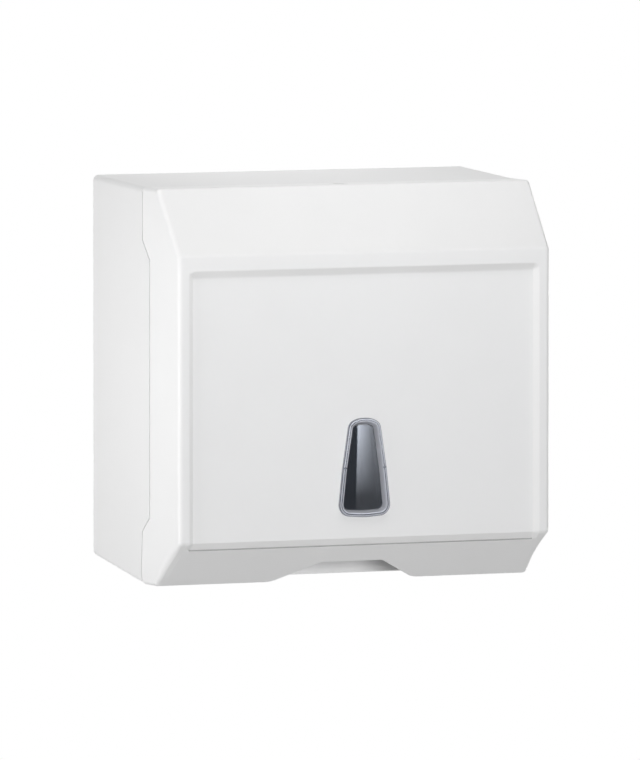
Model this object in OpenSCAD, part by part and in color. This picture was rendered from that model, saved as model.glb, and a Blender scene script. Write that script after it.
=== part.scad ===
// Wall-mounted dispenser for folded paper towels: a rear casing screwed to the
// wall, a front cover that swings down on two pins at its lower corners, a tray
// that carries the stack, a level window and a key-turned hook lock in the top.
// Millimetres. X to the right, Y into the wall, Z up. The origin is the centre
// of the four wall screws on the back face. Sizes below called "depth" count
// forward from the wall, and sizes called "height" count up from the lowest edge.

/* [Casing] */
// Full width of the casing
width = 280; // [250:1:310]
// Height of the top edge at the wall
back_height = 275; // [262:0.5:290]
// Depth of the joint between casing and cover, at the top
seam_depth = 85; // [79:0.5:92]
// How far the joint steps forward in the middle
seam_step = 12; // [9:0.5:14]
// How far the upper step starts below the cover's top
step_drop = 35.8; // [30:0.2:60]
// Height of the upper step
step_rise = 13.3; // [10:0.1:18]
// Height of the upper end of the lower step
lower_step = 46; // [43:0.5:60]
// Height of the lower step
lower_rise = 9.8; // [8:0.1:12]
// Height of the underside at the wall
floor_rise = 13.3; // [10:0.1:15]
// Wall thickness of the casing
casing_wall = 2.8; // [2.4:0.1:3.1]
// Outer edge radius of casing and cover
edge_radius = 4; // [3.6:0.1:5]
// Gap between casing and cover
seam_gap = 0.6; // [0.5:0.1:0.9]
// Reach of the casing's lip past the joint
lip_reach = 3; // [2:0.2:4]
// Thickness of the casing's lip
lip_wall = 1.4; // [1.2:0.1:1.8]
// Distance between the ribs on the back wall
rib_pitch = 60; // [50:1:70]
// Height of the ribs off the back wall
rib_height = 4; // [3:0.2:5]

/* [Cover] */
// Depth of the front face
depth = 144; // [130:0.5:160]
// Height of the top face
cover_height = 270.8; // [245:0.1:300]
// Depth of the flat top in front of the joint
top_run = 24; // [22:0.5:28]
// Height of the slanted panel
slant_height = 44.8; // [36:0.2:54]
// Height of the lower edge of the front face
front_bottom = 31; // [29:0.5:34]
// Depth of the lower edge in front of the joint
foot_run = 19; // [18:0.5:21]
// How much each side draws in towards the front
side_taper = 1.6; // [0.8:0.1:2.4]
// Wall thickness of the cover
cover_wall = 2.4; // [2:0.1:2.7]

/* [Front panel] */
// Width of the rim beside the sunk panel
rim_width = 5.2; // [4.8:0.2:8]
// Height of the rim above the sunk panel
rim_height = 9; // [7:0.5:12]
// Depth of the sunk panel behind the front face
panel_sink = 3; // [2.4:0.1:3.6]
// Wall thickness of the sunk panel
panel_wall = 2.6; // [2.2:0.1:3]
// Height of the sloped upper wall of the sunk panel
panel_slope = 6.5; // [4:0.5:9]
// Width of the sloped side walls of the sunk panel
panel_side = 5.2; // [3:0.2:7]
// Height of the narrow strip under the panel
strip_height = 3.7; // [3:0.1:4.2]
// How far the strip's lower edge lies behind the bevel
strip_sink = 0.6; // [0.4:0.1:1]
// Depth of the groove between the strip and the bevel
crease_depth = 1.3; // [1:0.1:1.5]

/* [Finger notch] */
// Notch width at the lower edge
notch_base = 107; // [90:1:120]
// Notch width at its upper edge
notch_top = 46.6; // [38:0.2:56]
// Notch height
notch_height = 14.1; // [12:0.1:16]

/* [Level window] */
// Width of the window flange across its lower corners
window_base = 39.2; // [34:0.2:44]
// Width of the window flange across its shoulders
window_shoulder = 23.1; // [20:0.1:27]
// Height of the window flange
window_height = 67.9; // [60:0.1:76]
// Height of the window's foot above the panel's lower edge
window_rise = 14.4; // [12:0.2:20]
// Thickness of the window flange
window_flange = 1.4; // [1:0.1:1.8]
// Width of the flat rim around the lens
window_rim = 2.9; // [2.6:0.1:3.2]
// How far the lens lies behind the rim
window_sink = 2.8; // [2:0.1:3.2]
// How far the flange covers the edge of the opening
window_cover = 2.5; // [2.2:0.1:3]
// Length of the skirt behind the panel's face
window_skirt = 10; // [8:0.5:12]
// Wall thickness of the skirt
skirt_wall = 1.45; // [1.2:0.05:1.8]

/* [Hinge] */
// Depth of the hinge line in front of the joint
pivot_offset = 14; // [13.5:0.1:14.6]
// Height of the hinge line
pivot_height = 10; // [9.6:0.1:11]
// Radius of the rounded joint around the hinge line
pivot_radius = 16.3; // [16:0.1:17.5]
// Hinge pin diameter
pin_d = 5; // [4.4:0.1:5.6]
// Radius of the lugs and ears around the pin
hub_r = 7; // [6.4:0.1:7.2]
// Thickness of the lugs and ears
lug_wall = 4; // [3.5:0.1:4.5]
// Radial running clearance of turning parts
running = 0.05; // [0.03:0.01:0.08]

/* [Lock] */
// Depth of the lock axis in front of the joint
lock_inset = 13.5; // [12.8:0.1:14.5]
// Lock barrel diameter
barrel_d = 10; // [9.2:0.1:11]
// Lock barrel length under the flange
barrel_length = 17.6; // [16:0.2:19.6]
// Radius of the lock flange
flange_r = 6.5; // [6.2:0.1:7.2]
// Lock plug diameter
plug_d = 6.5; // [5.8:0.1:7]
// Reach of the hook from the lock axis
hook_reach = 33.2; // [31:0.1:36]
// Width of the hook
hook_width = 4.2; // [3.6:0.1:5]
// Thickness of the hook
cam_wall = 2.1; // [1.6:0.1:2.5]

/* [Towel tray] */
// Height of the underside of the tray
tray_height = 20; // [18:0.1:22]
// Tray thickness
tray_wall = 2.4; // [2:0.1:2.8]
// Gap between the tray's front edge and the bevel
tray_gap = 4.9; // [3:0.1:8]
// Height of the lip at the front of the tray
tray_lip = 13; // [8:0.5:18]
// Distance of the towel slot from the middle of the wall to its own middle
slot_mid = 79.5; // [77:0.5:82]
// Distance of the slot's ends from the sides
slot_margin = 42; // [38:1:52]
// Width of the towel slot
slot_width = 30; // [26:0.5:33]
// Width of the finger relief in the middle of the slot
relief_width = 38; // [34:0.5:40]
// Length of the finger relief
relief_length = 68; // [58:1:78]

/* [Wall fixing] */
// Distance between screw holes across
screw_pitch_x = 180; // [160:5:200]
// Distance between screw holes up and down
screw_pitch_z = 170; // [150:5:190]
// Wall screw hole diameter
wall_hole_d = 5.5; // [5:0.1:6.2]
// Height of the middle of the screw pattern
screw_height = 150; // [140:0.5:160]

/* [Hidden] */
$fn = 64;
abs_white = [0.93, 0.93, 0.92];
abs_inner = [0.88, 0.88, 0.87];
steel = [0.72, 0.73, 0.75];
smoke = [0.35, 0.38, 0.42, 0.7];

// Overshoot of cuts past the faces they open, and overlap of joined bodies.
beyond = 20;
weld = 0.4;
// Radial clearance of fixed round fits, and side clearance of loose seats.
fit = 0.05;
seat = 0.4;

// Casing and cover, worked out from the sizes above.
half = width / 2;
seam_front = seam_depth + seam_step;
upper_step = cover_height - step_drop;
top_edge = seam_depth + top_run;
bevel_edge = seam_depth + foot_run;
front_top = cover_height - slant_height;
panel_top = front_top - rim_height;
panel_half = half - side_taper - rim_width;
panel_floor = depth - panel_sink;
panel_back = panel_floor - panel_wall;
highest = max(back_height, cover_height) + beyond;

// Height of the casing's top and underside at a given depth.
function top_at(d) = back_height - (back_height - cover_height) * d / seam_depth;
function foot_at(d) = floor_rise * (1 - d / seam_depth);
// Depth of the bevel's outer and inner faces at a given height.
bevel_run = (depth - bevel_edge) / front_bottom;
function bevel_at(z) = bevel_edge + z * bevel_run;
function bevel_inside(z) = bevel_at(z) - cover_wall * norm([1, bevel_run]);

// Hinge: the casing's lug is the outer leaf and the cover's ear the inner one.
pivot_depth = seam_depth + pivot_offset;
lug_side_gap = 0.8;
leaf_gap = 0.5;
lug_out = half - casing_wall - lug_side_gap;
lug_in = lug_out - lug_wall;
ear_out = lug_in - leaf_gap;
ear_in = ear_out - lug_wall;
pin_head = 1.8;
pin_head_r = pin_d / 2 + 1.6;
function around(r, a) = [pivot_depth + r * cos(a), pivot_height + r * sin(a)];

// How far each side of the cover has drawn in at a given depth.
cover_back = pivot_depth - pivot_radius;
function taper_at(d) = side_taper * (d - cover_back) / (depth - cover_back);

// Lock: barrel, plug and cam hang from the flange in the cover's top.
lock_depth = seam_depth + lock_inset;
flange_wall = 0.8;
barrel_top = cover_height - flange_wall;
barrel_foot = barrel_top - barrel_length;
cam_gap = 0.4;
cam_foot = barrel_foot - cam_gap - cam_wall;
cam_arm = 8;
hook_inner = hook_reach - hook_width;

// Strike: a post that stands just inside the hook's sweep, under a plate.
hook_play = 0.8;
post_clear = 1;
post_width = 6;
post_wall = 3.5;
post_left = cam_arm / 2 + post_clear;
post_right = post_left + post_width;
post_back = lock_depth - sqrt(pow(hook_inner - hook_play, 2) - pow(post_right, 2));
post_front = post_back + post_wall;
post_foot = cam_foot - 4;
strike_x = post_right + 4;
strike_depth = post_back - 6.5;
strike_back = strike_depth - 8;
strike_front = post_front + 3;
strike_wall = 2;
strike_drop = 6.3;
strike_top = min(top_at(strike_back), top_at(strike_front)) - casing_wall - strike_drop;

// Tapping screws, the bosses they turn into and the holes they pass.
screw_r = 1.7;
head_r = 3.4;
head_height = 1.5;
head_crown = 0.8;
boss_r = 4;
boss_skin = 1.6;
pilot_r = screw_r + fit;
hole_r = screw_r + 0.15;

// Tray: it clears the lugs, and its front clears ears and pin heads.
tray_half = lug_in - 1;
tray_neck = ear_in - pin_head - 4.1;
neck_depth = pivot_depth - hub_r;
tray_front = bevel_inside(tray_height) - tray_gap;
slot_half = half - slot_margin;
guide_depth = slot_mid - relief_width / 2;
tray_screw_x = half - 22;
tray_screw_depths = [16, seam_depth - 11];
screw_grip = 12;
function tray_grip(d) = min(tray_height - foot_at(d) - boss_skin - 0.8, screw_grip);

// Rounded outlines: each corner of a polygon is replaced by an arc.
function unit(v) = v / norm(v);
function corner_point(a, b, c, r) =
    let (u = unit(a - b), v = unit(c - b), h = acos(u * v) / 2)
    b + unit(u + v) * (r / sin(h));
function corner_arc(a, b, c, r, n) =
    r <= 0 ? [b] :
    let (u = unit(a - b), v = unit(c - b), h = acos(u * v) / 2,
         o = corner_point(a, b, c, r),
         p = b + u * (r / tan(h)) - o, q = b + v * (r / tan(h)) - o,
         a0 = atan2(p[1], p[0]), a1 = atan2(q[1], q[0]),
         turn = ((a1 - a0 + 540) % 360) - 180)
    [for (i = [0 : n]) o + r * [cos(a0 + turn * i / n), sin(a0 + turn * i / n)]];
function around_corner(pts, i, step) = pts[(i + step + len(pts)) % len(pts)];
function soft(pts, rs, n = 6) =
    [for (i = [0 : len(pts) - 1])
        each corner_arc(around_corner(pts, i, -1), pts[i], around_corner(pts, i, 1), rs[i], n)];
// The same polygon with every edge moved in by t.
function inset(pts, t) =
    [for (i = [0 : len(pts) - 1])
        corner_point(around_corner(pts, i, -1), pts[i], around_corner(pts, i, 1), t)];

// Rounded rectangle as [x, height], going anticlockwise seen from the front.
function quarter(x, z, r, a, n = 8) =
    [for (i = [0 : n]) [x + r * cos(a + 90 * i / n), z + r * sin(a + 90 * i / n)]];
function ring(h, z0, z1, r) = concat(
    quarter(h - r, z0 + r, r, -90), quarter(h - r, z1 - r, r, 0),
    quarter(-h + r, z1 - r, r, 90), quarter(-h + r, z0 + r, r, 180));

// Closed body through sections that all have n points, first and last capped.
module skin(sections) {
    n = len(sections[0]);
    last = len(sections) - 1;
    polyhedron(
        points = [for (s = sections) each s],
        faces = concat(
            [[for (i = [0 : n - 1]) i]],
            [[for (i = [n - 1 : -1 : 0]) last * n + i]],
            [for (k = [0 : last - 1], i = [0 : n - 1])
                let (j = (i + 1) % n)
                [k * n + i, (k + 1) * n + i, (k + 1) * n + j, k * n + j]]));
}

// Body drawn as a [depth, height] profile and run across from x0 to x1.
module across(x0, x1, pts)
    translate([x0, 0, 0]) rotate([90, 0, 90])
        linear_extrude(height = x1 - x0) polygon([for (p = pts) [-p[0], p[1]]]);

// Body drawn as an [x, height] outline and run between two depths.
module through(d0, d1, pts)
    translate([0, -d0, 0]) rotate([90, 0, 0]) linear_extrude(height = d1 - d0) polygon(pts);

// Body drawn as an [x, depth] outline and run between two heights.
module upright(z0, z1, pts)
    translate([0, 0, z0]) linear_extrude(height = z1 - z0) polygon([for (p = pts) [p[0], -p[1]]]);

module box_at(x0, x1, d0, d1, z0, z1)
    translate([x0, -d1, z0]) cube([x1 - x0, d1 - d0, z1 - z0]);

module rod_x(x0, x1, d, z, r)
    translate([x0, -d, z]) rotate([0, 90, 0]) cylinder(h = x1 - x0, r = r);

module rod_y(x, z, d0, d1, r)
    translate([x, -d0, z]) rotate([90, 0, 0]) cylinder(h = d1 - d0, r = r);

module rod_z(x, d, z0, z1, r)
    translate([x, -d, z0]) cylinder(h = z1 - z0, r = r);

module both_sides() {
    children();
    mirror([1, 0, 0]) children();
}

module placed() translate([0, 0, -screw_height]) children();

module at_wall_screws()
    for (x = [-1, 1], z = [-1, 1])
        translate([x * screw_pitch_x / 2, 0, screw_height + z * screw_pitch_z / 2]) children();

// Joint line between casing and cover, moved forward by g. Its lower end is an
// arc about the hinge, so that the cover turns clear of the casing.
seam_lean = 0.4;
arc_first = 168;
arc_last = 216;
function seam(g) = concat(
    [[seam_depth + g, highest], [seam_depth + g, upper_step],
     [seam_front + g, upper_step - step_rise], [seam_front + g - seam_lean, lower_step],
     [seam_depth + g - seam_lean, lower_step - lower_rise]],
    [for (a = [arc_first : 6 : arc_last]) around(pivot_radius - g, a)],
    [[around(pivot_radius - g, arc_last)[0], -beyond]]);

module in_front_of_seam(g)
    across(-half - beyond, half + beyond,
        concat(seam(g), [[depth + beyond, -beyond], [depth + beyond, highest]]));

module behind_seam(g)
    across(-half - beyond, half + beyond, concat(seam(g), [[0, -beyond], [0, highest]]));

// Casing form, drawn in by t on every side, between two depths.
module casing_body(t, d0, d1) {
    r = max(edge_radius - t, 0.6);
    skin([for (d = [d0, d1])
        [for (p = ring(half - t, foot_at(d) + t, top_at(d) - t, r)) [p[0], -d, p[1]]]]);
}

// Lug of the casing that reaches forward to one hinge pin. Its underside leaves
// room for the cover's lower edge, which swings back under it.
stop_r = 2;
stop_reach = 12;
stop_angle = 190;
lug_under = 193;
lug_root = seam_depth - 19;
lug_nose = seam_depth - 9;
lug_top = pivot_height + 14;
brace_front = cover_back - 1.7;
module hinge_lug() {
    rod_x(lug_in, lug_out, pivot_depth, pivot_height, hub_r);
    across(lug_in, lug_out,
        [[lug_root, foot_at(lug_root) + casing_wall / 2], [lug_root, lug_top],
         [seam_depth - 1, lug_top], around(hub_r, 70), around(hub_r, lug_under),
         around(stop_reach + 1.5, lug_under), [lug_nose, foot_at(lug_nose) + casing_wall / 2]]);
    box_at(lug_in, half - casing_wall + weld, lug_root, brace_front,
        foot_at(lug_root) + casing_wall / 2, lug_top);
    // peg that stops the cover when it is fully down
    stop = around(stop_reach, stop_angle);
    rod_x(ear_in, lug_in + 1, stop[0], stop[1], stop_r);
}

// Lip along the top and sides of the joint, inside the cover's wall.
lip_gap = 1;
lip_root = 6;
lip_foot = lower_step + 10;
lip_out = cover_wall + lip_gap;
module seam_lip() difference() {
    intersection() {
        casing_body(casing_wall - weld / 4, seam_depth / 2, depth);
        across(-half, half,
            [[seam_depth - lip_root, highest], [seam_depth - lip_root, upper_step - lip_reach],
             [seam_front - lip_root, upper_step - step_rise - lip_reach],
             [seam_front - lip_root, lip_foot], [seam_front + lip_reach, lip_foot],
             [seam_front + lip_reach, upper_step - step_rise],
             [seam_depth + lip_reach, upper_step], [seam_depth + lip_reach, highest]]);
    }
    casing_body(lip_out + lip_wall, seam_depth / 3, depth + beyond);
    difference() {
        in_front_of_seam(-lip_gap);
        casing_body(lip_out, seam_depth / 3, depth + beyond);
    }
    // room for the lock
    box_at(-beyond, beyond, seam_depth - lip_gap, depth, upper_step, highest);
}

// Rear casing: open-fronted box with ribs, bosses, lugs and the lip.
pad_r = 8;
pad_height = 1.8;
rib_wall = 2;
rib_foot = tray_height + tray_wall + 19.6;
rib_top = min(back_height, cover_height) - 19;
floor_open = slot_half + 8;
module rear_casing() color(abs_white) placed() difference() {
    union() {
        difference() {
            casing_body(0, 0, seam_front + lip_reach);
            casing_body(casing_wall, casing_wall, depth);
            in_front_of_seam(0);
        }
        seam_lip();
        // ribs that stiffen the back and keep the stack off it
        for (x = [-rib_pitch, 0, rib_pitch])
            box_at(x - rib_wall / 2, x + rib_wall / 2, casing_wall - weld, casing_wall + rib_height,
                rib_foot, rib_top);
        at_wall_screws() rod_y(0, 0, casing_wall - weld, casing_wall + pad_height, pad_r);
        // bosses for the tray and for the lock's strike
        intersection() {
            casing_body(weld, weld, seam_front);
            both_sides() {
                for (d = tray_screw_depths) rod_z(tray_screw_x, d, 0, tray_height, boss_r);
                rod_z(strike_x, strike_depth, strike_top, highest, boss_r);
            }
        }
        both_sides() hinge_lug();
    }
    // opening in the floor for the towels
    box_at(-floor_open, floor_open, guide_depth - tray_wall - 2.1, depth, -beyond, tray_height - 3);
    at_wall_screws() rod_y(0, 0, -1, casing_wall + pad_height + 1, wall_hole_d / 2);
    both_sides() {
        for (d = tray_screw_depths)
            rod_z(tray_screw_x, d, foot_at(d) + boss_skin, tray_height + 1, pilot_r);
        rod_z(strike_x, strike_depth, strike_top - 1, strike_top + strike_drop + 1.2, pilot_r);
        rod_x(lug_in - 1, lug_out + 1, pivot_depth, pivot_height, pin_d / 2 + running);
    }
}

// Pan-head tapping screw, head on top, shank pointing down, seat at the origin.
cross_length = 4;
cross_width = 0.8;
module tapping_screw(length, r) difference() {
    union() {
        translate([0, 0, -length]) cylinder(h = length + 0.1, r = r);
        cylinder(h = head_height, r = head_r);
        translate([0, 0, head_height]) cylinder(h = head_crown, r1 = head_r, r2 = head_r - 1.2);
    }
    for (a = [0, 90])
        rotate([0, 0, a])
            translate([-cross_length / 2, -cross_width / 2, head_height - 0.6])
                cube([cross_length, cross_width, 3]);
}

// Towel slot with a wider finger relief in its middle, as [x, depth].
relief_ease = 10;
slot_corner = 12;
relief_corner = 5;
slot_side = [
    [slot_half, slot_width / 2], [relief_length / 2 + relief_ease, slot_width / 2],
    [relief_length / 2, relief_width / 2]];
slot_front = concat(slot_side, [for (i = [2 : -1 : 0]) [-slot_side[i][0], slot_side[i][1]]]);
slot_outline = concat(
    [for (p = slot_front) [p[0], slot_mid + p[1]]],
    [for (i = [5 : -1 : 0]) [slot_front[i][0], slot_mid - slot_front[i][1]]]);
slot_radii = [for (p = slot_outline) abs(p[0]) == slot_half ? slot_corner : relief_corner];

// Towel tray: floor with the towel slot, guide behind the slot, front lip.
guide_foot = 0.6;
module towel_tray() color(abs_inner) placed() difference() {
    union() {
        upright(tray_height, tray_height + tray_wall, soft(
            [[-tray_half, casing_wall + seat], [tray_half, casing_wall + seat],
             [tray_half, neck_depth - 8], [tray_neck, neck_depth], [tray_neck, tray_front],
             [-tray_neck, tray_front], [-tray_neck, neck_depth], [-tray_half, neck_depth - 8]],
            [1, 1, 4, 4, 3, 3, 4, 4]));
        // lip that keeps the stack from sliding forward
        box_at(-tray_neck + 4, tray_neck - 4, tray_front - tray_wall, tray_front,
            tray_height + weld, tray_height + tray_lip);
        // guide that leads the towel down behind the slot
        across(-slot_half, slot_half, soft(
            [[guide_depth - tray_wall, tray_height + weld], [guide_depth, tray_height + weld],
             [guide_depth + weld, guide_foot], [guide_depth - tray_wall, guide_foot]],
            [0, 0, 1, 1]));
    }
    upright(tray_height - 1, tray_height + tray_wall + 1, soft(slot_outline, slot_radii));
    both_sides()
        for (d = tray_screw_depths)
            rod_z(tray_screw_x, d, tray_height - 1, tray_height + tray_wall + 1, hole_r);
}

module tray_screws() color(steel) placed() both_sides()
    for (d = tray_screw_depths)
        translate([tray_screw_x, -d, tray_height + tray_wall])
            tapping_screw(tray_wall + tray_grip(d), screw_r);

// Strike for the lock: plate under the roof with a post that the hook grips.
strike_half = strike_x + 7;
gusset_wall = 2;
module strike_bracket() color(steel) placed() difference() {
    union() {
        upright(strike_top - strike_wall, strike_top, soft(
            [[-strike_half, strike_back], [strike_half, strike_back],
             [strike_half, strike_front], [-strike_half, strike_front]],
            [3, 3, 3, 3]));
        box_at(post_left, post_right, post_back, post_front, post_foot, strike_top - weld);
        across(post_left + gusset_wall, post_left + 2 * gusset_wall,
            [[post_front - weld, strike_top - weld], [post_front - weld, strike_top - 8],
             [strike_front - weld, strike_top - strike_wall], [strike_front - weld, strike_top - weld]]);
    }
    both_sides() rod_z(strike_x, strike_depth, strike_top - strike_wall - 1, strike_top + 1, hole_r);
}

module strike_screws() color(steel) placed() both_sides()
    translate([strike_x, -strike_depth, strike_top - strike_wall])
        rotate([180, 0, 0]) tapping_screw(strike_wall + strike_drop - 0.1, screw_r);

// Cover form: the side outline below run across, with all its edges rounded.
// Sections near each side shrink about the corners' own centres.
function cover_outline(back) = [[back, 0], [bevel_edge, 0], [depth, front_bottom],
    [depth, front_top], [top_edge, cover_height], [back, cover_height]];
function facing(p, q) = atan2(p[0] - q[0], q[1] - p[1]);
function cover_section(back, r, n = 6) =
    let (o = cover_outline(back))
    concat(
        [[back, edge_radius - r]],
        [for (i = [1 : 4])
            let (c = corner_point(o[i - 1], o[i], o[i + 1], edge_radius),
                 a = facing(o[i - 1], o[i]), b = facing(o[i], o[i + 1]))
            for (k = [0 : n]) c + r * [cos(a + (b - a) * k / n), sin(a + (b - a) * k / n)]],
        [[back, cover_height - edge_radius + r]]);
side_steps = 6;
side_first = 9;
module cover_body(t, back) {
    r = edge_radius - t;
    turns = [for (k = [0 : side_steps]) side_first + (90 - side_first) * k / side_steps];
    right = [for (a = turns) [half - edge_radius + r * cos(a) / cos(side_first), r * sin(a)]];
    left = [for (k = [side_steps : -1 : 0]) [-right[k][0], right[k][1]]];
    skin([for (s = concat(right, left))
        [for (p = cover_section(back, s[1])) [s[0] - sign(s[0]) * taper_at(p[0]), -p[0], p[1]]]]);
}

// Outline of the window flange, drawn in by t on every side.
window_foot = front_bottom + window_rise;
window_top = window_foot + window_height;
window_crown = 9.7;
window_dome = 3.2;
window_bow = 1.4;
window_corners = [
    [-window_base / 2, window_foot + window_bow], [0, window_foot],
    [window_base / 2, window_foot + window_bow], [window_shoulder / 2, window_top - window_dome],
    [window_crown / 2, window_top], [-window_crown / 2, window_top],
    [-window_shoulder / 2, window_top - window_dome]];
window_radii = [8, 60, 8, 5, 9, 9, 5];
function window_outline(t) =
    soft(inset(window_corners, t), [for (r = window_radii) r - t * 0.8], 8);
// Half width of the flange on its straight side at a given height.
function window_half_at(z) =
    let (a = window_corners[2], b = window_corners[3])
    a[0] + (b[0] - a[0]) * (z - a[1]) / (b[1] - a[1]);

// Ear of the cover that carries one hinge pin, rooted on the bevel.
module hinge_ear() {
    rod_x(ear_in, ear_out, pivot_depth, pivot_height, hub_r);
    across(ear_in, ear_out,
        [[pivot_depth, pivot_height + hub_r],
         [bevel_inside(pivot_height + hub_r) + cover_wall, pivot_height + hub_r],
         [bevel_inside(cover_wall) + cover_wall, cover_wall],
         [bevel_edge - cover_wall + weld, cover_wall / 2], around(hub_r, -82)]);
}

// Front cover: shell with its sunk panel, strip, finger notch and openings.
strip_top = front_bottom + 0.3;
strip_foot = strip_top - strip_height;
strip_edge = bevel_at(strip_foot) - strip_sink;
crease_height = 0.7;
crease_draft = 0.1;
panel_draft = 0.2;
recess_slope = panel_slope / panel_sink;
side_slope = panel_side / panel_sink;
panel_border = 2.4;
side_border = 1.3;
front_skin = 0.3;
notch_edge = 0.6;
module front_cover() color(abs_white) placed() difference() {
    union() {
        difference() {
            cover_body(0, seam_depth - beyond);
            cover_body(cover_wall, seam_depth - 2 * beyond);
            // the bottom is open behind the bevel
            box_at(-half + cover_wall, half - cover_wall, 0, bevel_edge - cover_wall,
                -1, cover_wall + 0.5);
        }
        // wall of the sunk panel
        intersection() {
            across(-half, half,
                [[panel_back, (panel_back - bevel_edge) / bevel_run + weld],
                 [depth - front_skin, front_bottom + 2 * front_skin],
                 [depth - front_skin, panel_top + panel_border], [panel_back, panel_top + panel_border]]);
            upright(0, highest,
                [[-panel_half - side_border, depth], [panel_half + side_border, depth],
                 [panel_half + side_border, depth - cover_wall],
                 [panel_half + side_border - panel_side, panel_back - 1],
                 [-panel_half - side_border + panel_side, panel_back - 1],
                 [-panel_half - side_border, depth - cover_wall]]);
        }
        both_sides() hinge_ear();
    }
    // everything behind the joint line belongs to the casing
    behind_seam(seam_gap);
    // sunk panel with sloped walls, and the strip with the groove below it
    intersection() {
        across(-half, half,
            [[depth + 1, panel_top + recess_slope], [panel_floor, panel_top - panel_slope],
             [panel_floor, strip_top], [strip_edge, strip_foot],
             [strip_edge - crease_depth, strip_foot - crease_draft],
             [strip_edge - crease_depth, strip_foot - crease_height + crease_draft],
             [bevel_at(strip_foot - crease_height) - 0.05, strip_foot - crease_height],
             [depth + 1, front_bottom - 8]]);
        upright(0, highest,
            [[-panel_half - side_slope, depth + 1], [panel_half + side_slope, depth + 1],
             [panel_half - panel_side, panel_floor],
             [panel_half - panel_side - panel_draft, panel_floor - 2 * panel_sink],
             [-panel_half + panel_side + panel_draft, panel_floor - 2 * panel_sink],
             [-panel_half + panel_side, panel_floor]]);
    }
    // finger notch through the bevel
    through(bevel_edge - 8, bevel_at(notch_height) + 8, soft(
        [[-notch_base / 2 - 8, -4.2], [notch_base / 2 + 8, -4.2],
         [notch_base / 2 - notch_edge, notch_edge / 2], [notch_top / 2, notch_height],
         [-notch_top / 2, notch_height], [-notch_base / 2 + notch_edge, notch_edge / 2]],
        [0, 0, 16, 9, 9, 16]));
    // opening for the window's skirt
    through(panel_back - 3, depth + 2, window_outline(window_cover));
    // lock hole with a seat for the flange
    rod_z(0, lock_depth, cover_height - beyond, cover_height + 2, barrel_d / 2 + fit);
    rod_z(0, lock_depth, barrel_top, cover_height + 2, flange_r + 2 * fit);
    both_sides() rod_x(ear_in - 1, ear_out + leaf_gap / 2, pivot_depth, pivot_height, pin_d / 2 + fit / 5);
}

// Level window: flange on the panel, skirt through the opening, sunk lens, two snap tabs.
skirt_inset = window_cover + 0.15;
lens_wall = 1.5;
lens_draft = 1.8;
window_face = panel_floor + window_flange;
lens_face = window_face - window_sink;
tab_half = 3;
tab_wall = 1.2;
tab_catch = 0.85;
window_mid = window_foot + window_height / 2;
function tab_side(out) =
    [for (z = [window_mid - tab_half, window_mid + tab_half]) [window_half_at(z) + out, z]];
tab_root = tab_side(-skirt_inset - skirt_wall / 2);
tab_tip = tab_side(-window_cover + tab_catch);
module level_window() color(smoke) placed() difference() {
    union() {
        through(panel_floor, panel_floor + window_flange * 0.55, window_outline(0));
        through(panel_floor + window_flange / 2, window_face, window_outline(0.7));
        through(panel_floor - window_skirt, panel_floor + weld / 2, window_outline(skirt_inset));
        both_sides()
            through(panel_back - 0.15 - tab_wall, panel_back - 0.15,
                [tab_root[0], tab_tip[0], tab_tip[1], tab_root[1]]);
    }
    // hollow in front of the lens with sloped walls, and the hollow of the skirt behind it
    skin([for (s = [1, -0.5])
        [for (p = window_outline(window_rim + lens_draft * s))
            [p[0], window_sink * s - window_face, p[1]]]]);
    through(panel_floor - window_skirt - 1, lens_face - lens_wall,
        window_outline(skirt_inset + skirt_wall));
}

// Hinge pin with a low head on the inner side.
pin_short = 0.2;
module hinge_pin() {
    rod_x(ear_in - pin_short, lug_out - pin_short, pivot_depth, pivot_height, pin_d / 2);
    rod_x(ear_in - pin_head, ear_in, pivot_depth, pivot_height, pin_head_r);
}
module right_hinge_pin() color(steel) placed() hinge_pin();
module left_hinge_pin() color(steel) placed() mirror([1, 0, 0]) hinge_pin();

// Lock: flanged barrel, washer and nut fixed in the top of the cover.
washer_wall = 0.6;
washer_r = barrel_d / 2 + 3;
nut_height = 4;
plug_lip = 0.9;
plug_sunk = 0.3;
module lock_barrel() color(abs_white) placed() difference() {
    union() {
        rod_z(0, lock_depth, barrel_top, cover_height, flange_r);
        rod_z(0, lock_depth, barrel_foot, barrel_top + weld, barrel_d / 2);
    }
    rod_z(0, lock_depth, barrel_foot - 1, cover_height + 1, plug_d / 2 + running);
    rod_z(0, lock_depth, cover_height - 1.5, cover_height + 1, plug_d / 2 + plug_lip + running);
}

module lock_washer() color(steel) placed() difference() {
    rod_z(0, lock_depth, cover_height - cover_wall - washer_wall, cover_height - cover_wall, washer_r);
    rod_z(0, lock_depth, barrel_foot, cover_height, barrel_d / 2 + fit);
}

module lock_nut() color(steel) placed() difference() {
    translate([0, -lock_depth, cover_height - cover_wall - washer_wall - nut_height])
        cylinder(h = nut_height, r = washer_r, $fn = 6);
    rod_z(0, lock_depth, barrel_foot, cover_height, barrel_d / 2 + fit / 2);
}

// Turning part of the lock: plug with key slot and square end, hook and screw.
square = 4.2;
square_fit = 0.03;
key_width = 4.6;
key_wall = 1.2;
cam_screw_r = 1.25;
cam_screw_length = 6.5;
module lock_plug() color(abs_white) placed() difference() {
    union() {
        rod_z(0, lock_depth, barrel_foot - cam_gap, cover_height - plug_sunk, plug_d / 2);
        rod_z(0, lock_depth, cover_height - 1.5 + running, cover_height - plug_sunk, plug_d / 2 + plug_lip);
        box_at(-square / 2, square / 2, lock_depth - square / 2, lock_depth + square / 2,
            cam_foot, barrel_foot);
    }
    box_at(-key_width / 2, key_width / 2, lock_depth - key_wall / 2, lock_depth + key_wall / 2,
        cover_height - 9, cover_height + 1);
    rod_z(0, lock_depth, cam_foot - 1, cam_foot + cam_screw_length + 1.5, cam_screw_r + square_fit);
}

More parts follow.
